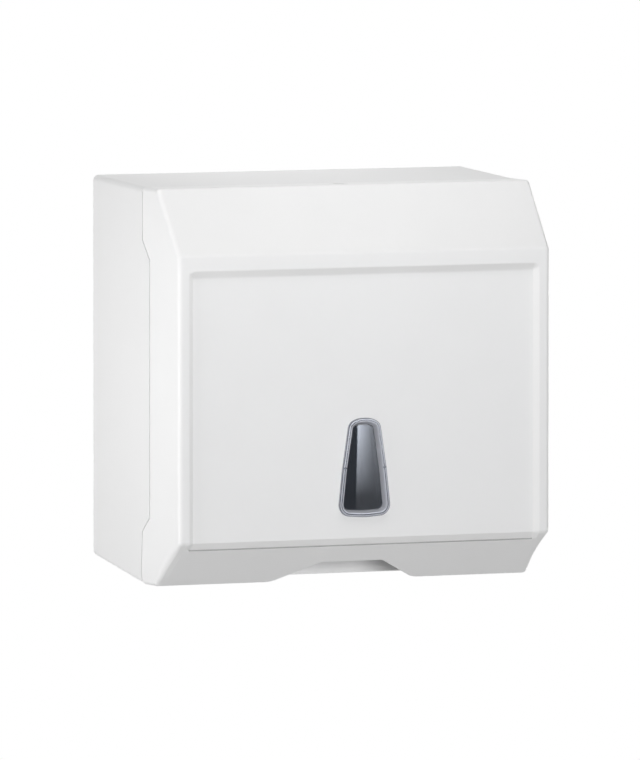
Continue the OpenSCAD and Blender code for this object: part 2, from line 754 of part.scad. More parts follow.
cam_hub_r = 6;
hook_lead = 3.2;
hook_span = 26;
module lock_cam() color(steel) placed() translate([0, -lock_depth, cam_foot]) difference() {
    union() {
        cylinder(h = cam_wall, r = cam_hub_r);
        translate([-hook_reach + 1, -cam_arm / 2, 0]) cube([hook_reach - 1, cam_arm, cam_wall]);
        intersection() {
            difference() {
                cylinder(h = cam_wall, r = hook_reach);
                translate([0, 0, -1]) cylinder(h = cam_wall + 2, r = hook_inner);
            }
            linear_extrude(height = cam_wall) polygon(
                [[-hook_inner / 2, -hook_lead], [-2 * hook_reach, -hook_lead],
                 2 * hook_reach * [-1, tan(hook_span)], hook_inner / 2 * [-1, tan(hook_span)]]);
        }
    }
    translate([-square / 2 - square_fit, -square / 2 - square_fit, -1])
        cube([square + 2 * square_fit, square + 2 * square_fit, cam_wall + 2]);
}

module cam_screw() color(steel) placed() translate([0, -lock_depth, cam_foot])
    rotate([180, 0, 0]) tapping_screw(cam_screw_length, cam_screw_r);

rear_casing();
towel_tray();
tray_screws();
strike_bracket();
strike_screws();
front_cover();
level_window();
left_hinge_pin();
right_hinge_pin();
lock_barrel();
lock_washer();
lock_nut();
lock_plug();
lock_cam();
cam_screw();
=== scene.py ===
# %% [markdown]
# # A wall-mounted dispenser for folded paper towels
# Two white moulded shells meet along a thin stepped joint, and the front one
# swings down on pins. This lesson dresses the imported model: it loads the CAD
# pieces, sets a camera and light, mixes the plastics and metals, and then models
# the two pieces that carry the look, the front cover and the level window.

# %% Load the frame
import math

import bmesh
import bpy
import numpy as np
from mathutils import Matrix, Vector


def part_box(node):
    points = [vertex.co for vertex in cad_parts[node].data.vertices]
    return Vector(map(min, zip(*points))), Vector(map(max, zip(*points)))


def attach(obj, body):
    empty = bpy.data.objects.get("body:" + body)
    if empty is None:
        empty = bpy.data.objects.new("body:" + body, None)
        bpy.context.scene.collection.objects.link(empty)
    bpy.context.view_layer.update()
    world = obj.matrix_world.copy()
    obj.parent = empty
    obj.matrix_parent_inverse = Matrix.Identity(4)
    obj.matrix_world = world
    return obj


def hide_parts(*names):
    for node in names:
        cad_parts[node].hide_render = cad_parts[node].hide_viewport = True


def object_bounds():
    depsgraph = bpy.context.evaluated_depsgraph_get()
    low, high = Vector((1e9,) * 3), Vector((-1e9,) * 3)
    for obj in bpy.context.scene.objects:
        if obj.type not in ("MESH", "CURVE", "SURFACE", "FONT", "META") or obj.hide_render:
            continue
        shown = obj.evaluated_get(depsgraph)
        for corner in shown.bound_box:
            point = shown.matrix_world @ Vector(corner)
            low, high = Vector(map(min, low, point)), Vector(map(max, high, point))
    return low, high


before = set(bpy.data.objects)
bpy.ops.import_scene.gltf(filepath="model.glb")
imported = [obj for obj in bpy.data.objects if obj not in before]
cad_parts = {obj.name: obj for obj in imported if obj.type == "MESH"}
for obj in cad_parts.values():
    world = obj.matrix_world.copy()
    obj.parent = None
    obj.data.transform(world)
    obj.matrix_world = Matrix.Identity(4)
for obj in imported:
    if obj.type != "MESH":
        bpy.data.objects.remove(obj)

cad_low, cad_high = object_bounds()
print("CAD box in metres:", list(cad_low), list(cad_high))

# %% [markdown]
# ## Sizes
# The frame is in metres with the origin between the wall screws. The moulded
# shapes are easier to think of in millimetres, as a width from the middle, a
# depth from the wall and a height above the lowest edge, so one function turns
# those into a place in the frame. The overall sizes come from the CAD boxes.

# %% Millimetres and the cover's overall sizes
MM = 0.001
cover_low, cover_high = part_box("front_cover")
HALF = cover_high.x / MM
DEPTH = -cover_low.y / MM
HEIGHT = (cover_high.z - cover_low.z) / MM
FOOT = cover_low.z / MM


def place(x, depth, height):
    """A point in the frame, in metres."""
    return (x * MM, -depth * MM, (height + FOOT) * MM)


print(f"cover: half width {HALF:.1f}, depth {DEPTH:.1f}, height {HEIGHT:.1f} mm")

# %% [markdown]
# ## Camera
# The picture was taken from the object's left with a long lens: the side edges
# stay almost parallel. A real camera could be matched with vanishing points, but
# here the view angle was fitted to the measured corners of the casing.

# %% Camera
VIEW_TURN = math.radians(-24.0)
VIEW_RISE = math.radians(3.94)
VIEW_DISTANCE = 9.0
VIEW_AIM = Vector((-0.0010, -0.0700, -0.0154))
LENS_MM, SENSOR_MM = 621.9, 36.0
FAR_LIMIT = 50.0

towards_camera = Vector((
    math.sin(VIEW_TURN) * math.cos(VIEW_RISE),
    -math.cos(VIEW_TURN) * math.cos(VIEW_RISE),
    math.sin(VIEW_RISE),
))
camera = bpy.data.objects.new("camera", bpy.data.cameras.new("camera"))
camera.data.lens = LENS_MM
camera.data.sensor_width = SENSOR_MM
camera.data.clip_end = FAR_LIMIT
camera.location = VIEW_AIM + towards_camera * VIEW_DISTANCE
camera.rotation_mode = "QUATERNION"
camera.rotation_quaternion = (-towards_camera).to_track_quat("-Z", "Y")
bpy.context.scene.collection.objects.link(camera)
bpy.context.scene.camera = camera
print("camera at", [round(v, 3) for v in camera.location])

# %% [markdown]
# ## Colours and nodes
# Paint and plastic colours are read as sRGB hex values, while the renderer adds
# light in linear values, so one function turns the first into the second. One
# more function adds a shader node with its settings and the sockets that feed it.

# %% Colour and node helpers


def linear(hex_code):
    """An sRGB hex colour as linear red, green, blue and a full alpha."""
    shares = [int(hex_code[i:i + 2], 16) / 255 for i in (1, 3, 5)]
    colour = [s / 12.92 if s <= 0.04045 else ((s + 0.055) / 1.055) ** 2.4 for s in shares]
    return (*colour, 1.0)


def add_node(tree, kind, inputs=None, **settings):
    """Adds a node; each input is a plain value or the socket that feeds it."""
    made = tree.nodes.new(kind)
    for name, value in settings.items():
        setattr(made, name, value)
    for name, value in (inputs or {}).items():
        if isinstance(value, bpy.types.NodeSocket):
            tree.links.new(value, made.inputs[name])
        else:
            made.inputs[name].default_value = value
    return made


def new_material(name):
    """An empty node material and its tree."""
    made = bpy.data.materials.new(name)
    made.use_nodes = True
    made.node_tree.nodes.clear()
    return made, made.node_tree


print("white plastic in linear light:", [round(v, 3) for v in linear("#f2f2f2")])

# %% [markdown]
# ## Studio
# The object hangs on a wall and was cut out on white, so there is no contact
# shadow to copy. A pale floor lies well below it and still catches its shadow. The
# soft boxes hardly reach it, so for the camera it has a glow of its own, which
# grows to white towards the rim, as on a paper sweep, so that no end shows.

# %% Floor
FLOOR_DROP = 0.60
FLOOR_REACH = 1.5
FLOOR_GLOW = 0.5
GLOW_FROM, WHITE_FROM = 0.35, 1.4
PAPER_CLOUD = 75 * MM
WHITE = (1.0, 1.0, 1.0, 1.0)


def seen_plainly(tree):
    """A socket that is 1 for the camera, in reflections and through clear plastic, else 0."""
    ray = add_node(tree, "ShaderNodeLightPath")
    seen = add_node(tree, "ShaderNodeMath", {
        0: ray.outputs["Is Camera Ray"], 1: ray.outputs["Is Glossy Ray"]}, operation="MAXIMUM")
    seen = add_node(tree, "ShaderNodeMath", {
        0: seen.outputs[0], 1: ray.outputs["Is Transmission Ray"]}, operation="MAXIMUM")
    return seen.outputs[0]


floor_mesh = bpy.data.meshes.new("studio_floor")
floor_corners = [(x * FLOOR_REACH, y * FLOOR_REACH, 0.0)
                 for x, y in ((-1, -1), (1, -1), (1, 1), (-1, 1))]
floor_mesh.from_pydata(floor_corners, [], [(0, 1, 2, 3)])
floor = bpy.data.objects.new("studio_floor", floor_mesh)
floor.location.z = cad_low.z - FLOOR_DROP
bpy.context.scene.collection.objects.link(floor)
paper, tree = new_material("pale_paper_floor")
where = add_node(tree, "ShaderNodeTexCoord")
fibres = add_node(tree, "ShaderNodeTexNoise", {
    "Vector": where.outputs["Object"], "Scale": 1 / PAPER_CLOUD})
tint = add_node(tree, "ShaderNodeMix", {
    "Factor": fibres.outputs["Fac"], "A": linear("#ececec"),
    "B": linear("#f0f0f0")}, data_type="RGBA")
matt = add_node(tree, "ShaderNodeBsdfDiffuse", {"Color": tint.outputs["Result"]})
away = add_node(tree, "ShaderNodeVectorMath", {0: where.outputs["Object"]}, operation="LENGTH")
sweep = add_node(tree, "ShaderNodeMapRange", {
    "Value": away.outputs["Value"], "From Min": GLOW_FROM, "From Max": WHITE_FROM,
    "To Min": FLOOR_GLOW, "To Max": 1.0}, interpolation_type="SMOOTHSTEP")
level = add_node(tree, "ShaderNodeMath", {
    0: seen_plainly(tree), 1: sweep.outputs["Result"]}, operation="MULTIPLY")
pale = add_node(tree, "ShaderNodeEmission", {"Color": WHITE, "Strength": level.outputs[0]})
both = add_node(tree, "ShaderNodeAddShader", {0: matt.outputs["BSDF"], 1: pale.outputs["Emission"]})
add_node(tree, "ShaderNodeOutputMaterial", {"Surface": both.outputs["Shader"]})
floor_mesh.materials.append(paper)
print("floor", round(floor.location.z, 3), "m")

# %% [markdown]
# The world is a tent that gives the plastic hardly any light of its own, a little
# more from above than from below. The camera, and reflections and clear plastic,
# see it as plain white.

# %% Tent
TENT_ABOVE, TENT_BELOW = 0.04, 0.01
TENT_FADE = 0.6

world = bpy.data.worlds.new("soft_tent")
bpy.context.scene.world = world
world.use_nodes = True
tree = world.node_tree
tree.nodes.clear()
direction = add_node(tree, "ShaderNodeTexCoord")
split = add_node(tree, "ShaderNodeSeparateXYZ", {"Vector": direction.outputs["Generated"]})
level = add_node(tree, "ShaderNodeMapRange", {
    "Value": split.outputs["Z"], "From Min": -TENT_FADE, "From Max": TENT_FADE,
    "To Min": TENT_BELOW, "To Max": TENT_ABOVE}, interpolation_type="SMOOTHSTEP")
strength = add_node(tree, "ShaderNodeMix", {
    "Factor": seen_plainly(tree), "A": level.outputs["Result"], "B": 1.0}, data_type="FLOAT")
sky = add_node(tree, "ShaderNodeBackground", {
    "Color": WHITE, "Strength": strength.outputs["Result"]})
add_node(tree, "ShaderNodeOutputWorld", {"Surface": sky.outputs["Background"]})
bpy.context.scene.view_settings.view_transform = "Standard"
print("tent", TENT_BELOW, "to", TENT_ABOVE)

# %% [markdown]
# Two soft boxes light the left side, a near one and a far one a little behind it,
# so that its rounded front edge fades evenly into the front. One far in front
# lights the panel slightly from the left, which shades the left wall of the
# recess. Two above light the top and the slanted face, and a weak one below lifts
# the bevel and notch. The last has a grid that keeps its light off the floor. It
# lights the right side and the back, which the photo does not show. Area lamps
# are used because their size sets how soft the shade under the rim is.

# %% Soft boxes
middle = (cad_low + cad_high) / 2


def soft_box(name, turn, rise, distance, size, watts, spread=180):
    """An area lamp that faces the object from a turn and a rise in degrees."""
    lamp = bpy.data.lights.new(name, "AREA")
    lamp.shape = "RECTANGLE"
    lamp.size, lamp.size_y = size
    lamp.energy = watts
    lamp.spread = math.radians(spread)
    made = bpy.data.objects.new(name, lamp)
    made.visible_camera = False
    # Reflections see the white tent, which stands for the lamps as well.
    made.visible_glossy = False
    t, r = math.radians(turn), math.radians(rise)
    away = Vector((math.sin(t) * math.cos(r), -math.cos(t) * math.cos(r), math.sin(r)))
    made.location = middle + away * distance
    made.rotation_mode = "QUATERNION"
    made.rotation_quaternion = (-away).to_track_quat("-Z", "Y")
    bpy.context.scene.collection.objects.link(made)


soft_box("left_soft_box", -78, 3, 0.52, (0.2, 0.38), 0.97)
soft_box("side_soft_box", -118, 2, 1.4, (0.6, 0.6), 5.8)
soft_box("front_soft_box", -8, 2, 2.2, (0.6, 0.4), 23.4)
soft_box("top_soft_box", 4, 60, 0.61, (0.35, 0.25), 1.42)
soft_box("back_top_soft_box", 180, 60, 0.40, (0.20, 0.12), 0.32)
soft_box("low_soft_box", 28, -50, 0.60, (0.40, 0.25), 0.10)
soft_box("right_back_soft_box", 125, -4, 1.4, (0.6, 0.6), 2.3, 60)

# %% [markdown]
# The smoked lens mirrors what stands to the right of the camera: a dim card, and
# next to it, with a sharp edge, a lit card whose glow fades to the right and
# downwards. A photographer uses such cards to give dark plastic a shape. Here the
# camera and diffuse light don't see them, so they neither light the white plastic
# nor get in the way.

# %% Reflection cards
CARD_EDGE_TURN = math.radians(20.9)
CARD_DISTANCE = 1.1
CARD_WIDTH = 0.30
CARD_LOW, CARD_HIGH = -0.22, -0.04

lens_spot = Vector((0.0, -0.140, 0.0))
outward = Vector((math.sin(CARD_EDGE_TURN), -math.cos(CARD_EDGE_TURN), 0.0))
along = Vector((math.cos(CARD_EDGE_TURN), math.sin(CARD_EDGE_TURN), 0.0))
near = lens_spot + outward * CARD_DISTANCE
corners = [near + along * CARD_WIDTH * side + Vector((0, 0, z))
           for side in (-1, 0, 1) for z in (CARD_LOW, CARD_HIGH)]
card_mesh = bpy.data.meshes.new("reflection_cards")
card_mesh.from_pydata(corners, [], [(2, 4, 5, 3), (0, 2, 3, 1)])
card = bpy.data.objects.new("reflection_cards", card_mesh)
bpy.context.scene.collection.objects.link(card)
card.visible_camera = False
card.visible_diffuse = False
card.visible_shadow = False
print("card edge stands at", [round(v, 3) for v in near])

# %% [markdown]
# The lit card glows most at its sharp edge and its top. The fall is measured along
# the card, so the place on it is first turned until the card lies square.

# %% Glow of the cards
CARD_GLOW, DIM_GLOW = 11.3, 0.6
FADE_WIDTH, FADE_LEFT_OVER = 0.16, 0.27
FADE_FOOT, FADE_TOP = -0.1755, -0.123

glow, tree = new_material("lit_card")
where = add_node(tree, "ShaderNodeTexCoord")
turned = add_node(tree, "ShaderNodeVectorRotate", {
    "Vector": where.outputs["Object"], "Angle": -CARD_EDGE_TURN}, rotation_type="Z_AXIS")
split = add_node(tree, "ShaderNodeSeparateXYZ", {"Vector": turned.outputs["Vector"]})
near_side = near.x * math.cos(CARD_EDGE_TURN) + near.y * math.sin(CARD_EDGE_TURN)
sideways = add_node(tree, "ShaderNodeMapRange", {
    "Value": split.outputs["X"], "From Min": near_side, "From Max": near_side + FADE_WIDTH,
    "To Min": 1.0, "To Max": FADE_LEFT_OVER})
upright = add_node(tree, "ShaderNodeMapRange", {
    "Value": split.outputs["Z"], "From Min": FADE_FOOT, "From Max": FADE_TOP,
    "To Min": 0.0, "To Max": CARD_GLOW})
power = add_node(tree, "ShaderNodeMath", {
    0: sideways.outputs["Result"], 1: upright.outputs["Result"], 2: 1.0}, operation="MULTIPLY_ADD")
light = add_node(tree, "ShaderNodeEmission", {
    "Color": linear("#eef4ff"), "Strength": power.outputs[0]})
add_node(tree, "ShaderNodeOutputMaterial", {"Surface": light.outputs["Emission"]})
card_mesh.materials.append(glow)
dim, tree = new_material("dim_card")
light = add_node(tree, "ShaderNodeEmission", {"Color": linear("#dde5f6"), "Strength": DIM_GLOW})
add_node(tree, "ShaderNodeOutputMaterial", {"Surface": light.outputs["Emission"]})
card_mesh.materials.append(dim)
card_mesh.polygons[1].material_index = 1
print("cards:", glow.name, "and", dim.name)

# %% [markdown]
# ## White ABS, moulded
# Casing and cover are injection-moulded ABS with a fine satin grain from the
# tool. The eye sees an almost neutral white, broad soft highlights along the
# edges, and a very slight waviness where the melt shrank. A flat white would look
# like paper, so the colour drifts a little and a faint grain bends the highlights.

# %% White ABS
DRIFT, WAVES = 45 * MM, 14 * MM
SINK_DEPTH = 0.02 * MM
SHEEN_SWING = 0.04


def moulded_abs(name, pale, deep, roughness, grain_mm, grain_depth_mm):
    """Moulded ABS: a colour that drifts, sink waves and a fine tool grain."""
    made, tree = new_material(name)
    where = add_node(tree, "ShaderNodeTexCoord")
    drift = add_node(tree, "ShaderNodeTexNoise", {
        "Vector": where.outputs["Object"], "Scale": 1 / DRIFT, "Detail": 2.0})
    colour = add_node(tree, "ShaderNodeMix", {
        "Factor": drift.outputs["Fac"], "A": linear(deep), "B": linear(pale)}, data_type="RGBA")
    waves = add_node(tree, "ShaderNodeTexNoise", {
        "Vector": where.outputs["Object"], "Scale": 1 / WAVES, "Detail": 1.0})
    grain = add_node(tree, "ShaderNodeTexNoise", {
        "Vector": where.outputs["Object"], "Scale": 1 / (grain_mm * MM), "Detail": 2.0})
    sheen = add_node(tree, "ShaderNodeMapRange", {
        "Value": grain.outputs["Fac"], "To Min": roughness - SHEEN_SWING,
        "To Max": roughness + SHEEN_SWING})
    sink = add_node(tree, "ShaderNodeBump", {
        "Height": waves.outputs["Fac"], "Strength": 0.25, "Distance": SINK_DEPTH})
    skin = add_node(tree, "ShaderNodeBump", {
        "Height": grain.outputs["Fac"], "Strength": 0.35, "Distance": grain_depth_mm * MM,
        "Normal": sink.outputs["Normal"]})
    shader = add_node(tree, "ShaderNodeBsdfPrincipled", {
        "Base Color": colour.outputs["Result"], "Roughness": sheen.outputs["Result"], "IOR": 1.54,
        "Normal": skin.outputs["Normal"]})
    add_node(tree, "ShaderNodeOutputMaterial", {"Surface": shader.outputs["BSDF"]})
    return made


# The grain is drawn at 0.9 mm, coarser than on a usual tool, so that it shows.
white_abs = moulded_abs("white_abs_satin_moulded", "#f3f3f3", "#f0f0f0", 0.34, 0.9, 0.012)
# The casing is drawn a shade greyer than the cover: painted shade, as its side
# gets less light than the cover's.
casing_shade_abs = moulded_abs("white_abs_satin_casing_painted_shade", "#eeeeee", "#ebebeb", 0.34, 0.9, 0.012)
inner_abs = moulded_abs("white_abs_matt_moulded", "#fafafa", "#f6f6f6", 0.5, 0.9, 0.02)
acetal = moulded_abs("white_acetal_moulded", "#efefef", "#ebebeb", 0.42, 0.7, 0.01)
# The crease above the bevel lies in shade on the real cover. The front light here
# shines straight into it, so its colour is drawn greyer, as painted shade, to keep the thin line.
crease_shade_abs = moulded_abs("white_abs_painted_crease_shade", "#d0d0d0", "#c6c6c6", 0.6, 0.9, 0.02)
print("made", white_abs.name, casing_shade_abs.name, inner_abs.name, crease_shade_abs.name, "and", acetal.name)

# %% [markdown]
# ## Clear and smoked styrene
# The level window is moulded in a hard clear plastic. Its rim lies on the white
# panel and looks pale, while the lens stands over the dark chamber and is smoked.
# Glass nodes would give the same bending of light, but the principled shader's
# transmission also carries the tint to other programs.

# %% Window plastics
FLOW = 9 * MM


def clear_styrene(name, tint, streak, roughness, clarity):
    """Moulded clear plastic: tinted transmission with faint flow streaks."""
    made, tree = new_material(name)
    where = add_node(tree, "ShaderNodeTexCoord")
    flow = add_node(tree, "ShaderNodeTexNoise", {
        "Vector": where.outputs["Object"], "Scale": 1 / FLOW, "Detail": 2.0})
    colour = add_node(tree, "ShaderNodeMix", {
        "Factor": flow.outputs["Fac"], "A": linear(streak), "B": linear(tint)}, data_type="RGBA")
    shader = add_node(tree, "ShaderNodeBsdfPrincipled", {
        "Base Color": colour.outputs["Result"], "Roughness": roughness, "IOR": 1.57,
        "Transmission Weight": clarity})
    add_node(tree, "ShaderNodeOutputMaterial", {"Surface": shader.outputs["BSDF"]})
    return made


clear_rim = clear_styrene("clear_styrene_moulded", "#d9dbe2", "#cfd1da", 0.12, 0.45)
smoked_lens = clear_styrene("smoked_styrene_polished", "#5c626d", "#555b66", 0.03, 1.0)
# The edge plastic is the smoked styrene drawn darker, as painted shade for the dark lines at the
# window's groove, slope foot and outer edge.
smoked_edge_shade = clear_styrene("smoked_styrene_edge_painted_shade", "#6c707a", "#626670", 0.10, 0.6)
print("made", clear_rim.name, smoked_lens.name, "and", smoked_edge_shade.name)

# %% [markdown]
# ## Plated metals
# Screws, pins, washer, nut, hook and strike are zinc-plated steel: bluish, a little
# cloudy from the plating bath. As a metal its colour is the reflection itself, and
# the IOR stays default.

# %% Plated metals
CLOUD_SWING = 0.08


def plated(name, bright, dull, roughness, cloud_mm):
    """Plated metal: cloudy reflection colour and roughness."""
    made, tree = new_material(name)
    where = add_node(tree, "ShaderNodeTexCoord")
    cloud = add_node(tree, "ShaderNodeTexNoise", {
        "Vector": where.outputs["Object"], "Scale": 1 / (cloud_mm * MM), "Detail": 3.0})
    colour = add_node(tree, "ShaderNodeMix", {
        "Factor": cloud.outputs["Fac"], "A": linear(dull), "B": linear(bright)}, data_type="RGBA")
    polish = add_node(tree, "ShaderNodeMapRange", {
        "Value": cloud.outputs["Fac"], "To Min": roughness - CLOUD_SWING,
        "To Max": roughness + CLOUD_SWING})
    shader = add_node(tree, "ShaderNodeBsdfPrincipled", {
        "Base Color": colour.outputs["Result"], "Metallic": 1.0,
        "Roughness": polish.outputs["Result"]})
    add_node(tree, "ShaderNodeOutputMaterial", {"Surface": shader.outputs["BSDF"]})
    return made


zinc_steel = plated("zinc_plated_steel", "#d4d7dc", "#b9bdc4", 0.34, 2.5)
print("made", zinc_steel.name)

# %% [markdown]
# ## Carried-over pieces
# Casing, tray, strike, lock and fasteners already have their real shape, so only
# their finish is new.

# %% Finish the CAD pieces
FINISHES = {
    # the casing's greyer white is painted shade
    "rear_casing": (casing_shade_abs, "white_abs"),
    "towel_tray": (inner_abs, "inner_abs"),
    "tray_screws": (zinc_steel, "zinc_steel"),
    "strike_bracket": (zinc_steel, "zinc_steel"),
    "strike_screws": (zinc_steel, "zinc_steel"),
    "left_hinge_pin": (zinc_steel, "zinc_steel"),
    "right_hinge_pin": (zinc_steel, "zinc_steel"),
    "lock_barrel": (acetal, "white_acetal"),
    "lock_washer": (zinc_steel, "zinc_steel"),
    "lock_nut": (zinc_steel, "zinc_steel"),
    "lock_plug": (acetal, "white_acetal"),
    "lock_cam": (zinc_steel, "zinc_steel"),
    "cam_screw": (zinc_steel, "zinc_steel"),
}
for name, (finish, slot) in FINISHES.items():
    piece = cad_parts[name]
    piece.data.materials.clear()
    piece.data.materials.append(finish)
print(len(FINISHES), "CAD pieces keep their shape")

# %% [markdown]
# ## Rounded outlines
# A moulded shell has no sharp edges. An outline here is a list of corners, each
# with a radius, and this tool walks along it and lays points round every corner.
# It also returns the outward direction at each point, so that an outline can be
# drawn in evenly, which is how the edges towards the sides are rounded later.

# %% Walk along an outline
STRAIGHT = 0.01        # a turn below this, in radians, counts as none


def to_left(way):
    """The direction to the left of a way, which is outward on these outlines."""
    return np.array([-way[1], way[0]])


def bend(corner, lead, leave, size, steps):
    """Points and outward directions round a corner of a radius, or along a straight one."""
    turn = math.atan2(lead[0] * leave[1] - lead[1] * leave[0], lead @ leave)
    out = to_left(lead)
    if abs(turn) < STRAIGHT:
        spread = [corner + lead * size * (2 * k / steps - 1) for k in range(steps + 1)]
        return spread, [out] * (steps + 1)
    side = math.copysign(size, turn)
    centre = corner - lead * size * math.tan(abs(turn) / 2) + out * side
    angles = [turn * k / steps for k in range(steps + 1)]
    outs = [np.array([out[0] * math.cos(a) - out[1] * math.sin(a),
                      out[0] * math.sin(a) + out[1] * math.cos(a)]) for a in angles]
    return [centre - side * o for o in outs], outs


def unit(v):
    """A vector of length one."""
    return v / np.linalg.norm(v)


def walk(corners):
    """Points and outward directions along corners of (x, y, size, steps, divisions before it)."""
    spots = [np.array(c[:2], float) for c in corners]
    points, outs = [spots[0]], [to_left(unit(spots[1] - spots[0]))]
    for i in range(1, len(corners)):
        size, steps, divisions = corners[i][2:]
        lead = unit(spots[i] - spots[i - 1])
        round_points, round_outs = [spots[i]], [to_left(lead)]
        if i + 1 < len(corners):
            leave = unit(spots[i + 1] - spots[i])
            round_points, round_outs = bend(spots[i], lead, leave, size, steps)
        start = points[-1]
        for k in range(1, divisions):
            points.append(start + (round_points[0] - start) * k / divisions)
            outs.append(to_left(lead))
        points += round_points
        outs += round_outs
    return np.array(points), np.array(outs)


quarter_bend = bend(np.zeros(2), np.array([1.0, 0.0]), np.array([0.0, -1.0]), 1, 8)[0]
print("a quarter bend has", len(quarter_bend), "points")

# %% [markdown]
# ## Front cover
# The cover is one moulding: a flat top, a slanted panel, a sunk front panel with
# a soft rim, a narrow strip and crease, and a bevel with a notch for the fingers.
# It could be carved with booleans, but their edges stay knife-sharp. Here it is
# woven instead: two side outlines, one over the rim and one through the sunk
# panel, have equally many points, and every column of the net is a mix of both.

# %% Sizes of the cover
SEAM_DEPTH = 85.0
SEAM_GAP = 0.6
SEAM_STEP = 12.0
SEAM_LEAN = 0.4
STEP_DROP, STEP_RISE = 35.8, 13.3
LOWER_STEP, LOWER_RISE = 46.0, 9.8
PIVOT_DEPTH, PIVOT_HEIGHT, PIVOT_RADIUS = 99.0, 10.0, 16.3
EDGE = 4.0
TOP_ROUND = 2.4
WALL = 2.4
SIDE_TAPER = 1.6
TOP_EDGE = SEAM_DEPTH + 24.0
FRONT_TOP = HEIGHT - 44.8
FRONT_BOTTOM = 31.0
BEVEL_EDGE = SEAM_DEPTH + 19.0
PANEL_TOP = FRONT_TOP - 9.95
PANEL_SLOPE = 4.6
PANEL_SINK = 3.0
PANEL_HALF = HALF - SIDE_TAPER - 7.8
PANEL_SIDE = 3.8
PANEL_FLOOR = DEPTH - PANEL_SINK
PANEL_BACK = PANEL_FLOOR - 2.6
STRIP_TOP = FRONT_BOTTOM + 0.3
STRIP_FOOT = STRIP_TOP - 4.5
STRIP_EDGE_SINK = 1.1
CREASE_DEPTH = 1.8
CREASE_HEIGHT = 0.85
NOTCH_BASE, NOTCH_TOP, NOTCH_HEIGHT = 107.0, 46.6, 14.1

BEVEL_RUN = (DEPTH - BEVEL_EDGE) / FRONT_BOTTOM
SLANT_RUN = (DEPTH - TOP_EDGE) / (HEIGHT - FRONT_TOP)
COVER_BACK = PIVOT_DEPTH - PIVOT_RADIUS
BEVEL_WALL = WALL * math.hypot(1, BEVEL_RUN)
SLANT_WALL = WALL * math.hypot(1, SLANT_RUN)


def bevel_at(height):
    """Depth of the bevel's face at a height."""
    return BEVEL_EDGE + height * BEVEL_RUN


def height_on_bevel(depth):
    """Height at which the bevel's face has a depth."""
    return (depth - BEVEL_EDGE) / BEVEL_RUN


def taper(depth):
    """How far a side has drawn in at a depth."""
    return SIDE_TAPER * (depth - COVER_BACK) / (DEPTH - COVER_BACK)


def seam_arc_depth(height):
    """Depth of the round end of the joint, about the hinge, at a height."""
    return PIVOT_DEPTH - math.sqrt((PIVOT_RADIUS - SEAM_GAP) ** 2 - (PIVOT_HEIGHT - height) ** 2)


print(f"bevel leans {math.degrees(math.atan(BEVEL_RUN)):.1f} degrees")
print(f"panel half width {PANEL_HALF:.1f} mm")

# %% [markdown]
# The outer outlines share their top and slant. At the panel one stays on the rim
# and the other dips down the slope, runs along the sunk floor, and folds in at
# the strip and crease. The inner outlines follow one wall thickness behind.

# %% Side outlines
PANEL_ROUNDS = (2.5, 3.0)        # edge and foot of the slope at the top of the panel
RIM_SPREADS = (1.5, 2.0)         # how far the same points spread along the straight rim
STRIP_ROUND = 0.9
CREASE_EDGE, CREASE_SOFT, CREASE_FLARE = 0.12, 0.1, 0.1
CREASE_ROWS = ((3, 2), (2, 2), (2, 1), (3, 2))        # bends of the crease: steps, divisions before
RIM_ROWS = (28.4, 27.9, 27.4)                         # heights of the same points beside the panel
INNER_ROWS = (26.0, 25.3, 24.6, 23.8)                 # and on the inside
INNER_STEP_UP, INNER_STEP_DOWN = 2.0, 1.0
INNER_STEP_ROUND, INNER_FOLD, INNER_SPREAD = 0.3, 1.2, 0.2


def outer_outlines(foot, soft, back):
    """Rim and panel outlines that end on the bevel at a height, rounded, and run back."""
    strip_edge = bevel_at(STRIP_FOOT) - STRIP_EDGE_SINK
    crease_back = strip_edge - CREASE_DEPTH
    crease_foot = STRIP_FOOT - CREASE_HEIGHT
    crease = [(strip_edge, STRIP_FOOT, CREASE_EDGE),
              (crease_back, STRIP_FOOT - CREASE_FLARE, CREASE_SOFT),
              (crease_back, crease_foot + CREASE_FLARE, CREASE_SOFT),
              (bevel_at(crease_foot), crease_foot, CREASE_EDGE)]
    plain = [(bevel_at(h), h, CREASE_SOFT) for h in (*RIM_ROWS, crease_foot)]

    def outline(panel):
        front = PANEL_FLOOR if panel else DEPTH
        edge_round, foot_round = PANEL_ROUNDS if panel else RIM_SPREADS
        fold = [(*c, *rows) for c, rows in zip(crease if panel else plain, CREASE_ROWS)]
        return walk([
            (SEAM_DEPTH + SEAM_GAP, HEIGHT, 0, 0, 0),
            (TOP_EDGE, HEIGHT, TOP_ROUND, 8, 3),
            (DEPTH, FRONT_TOP, EDGE, 8, 6),
            (DEPTH, PANEL_TOP, edge_round, 6, 2),
            (front, PANEL_TOP - PANEL_SLOPE, foot_round, 6, 2),
            (front, STRIP_TOP if panel else FRONT_BOTTOM, STRIP_ROUND if panel else EDGE, 8, 18),
            *fold,
            (bevel_at(foot), foot, soft, 6, 10),
            (back, foot, 0, 0, 4),
        ])
    return outline(False), outline(True)


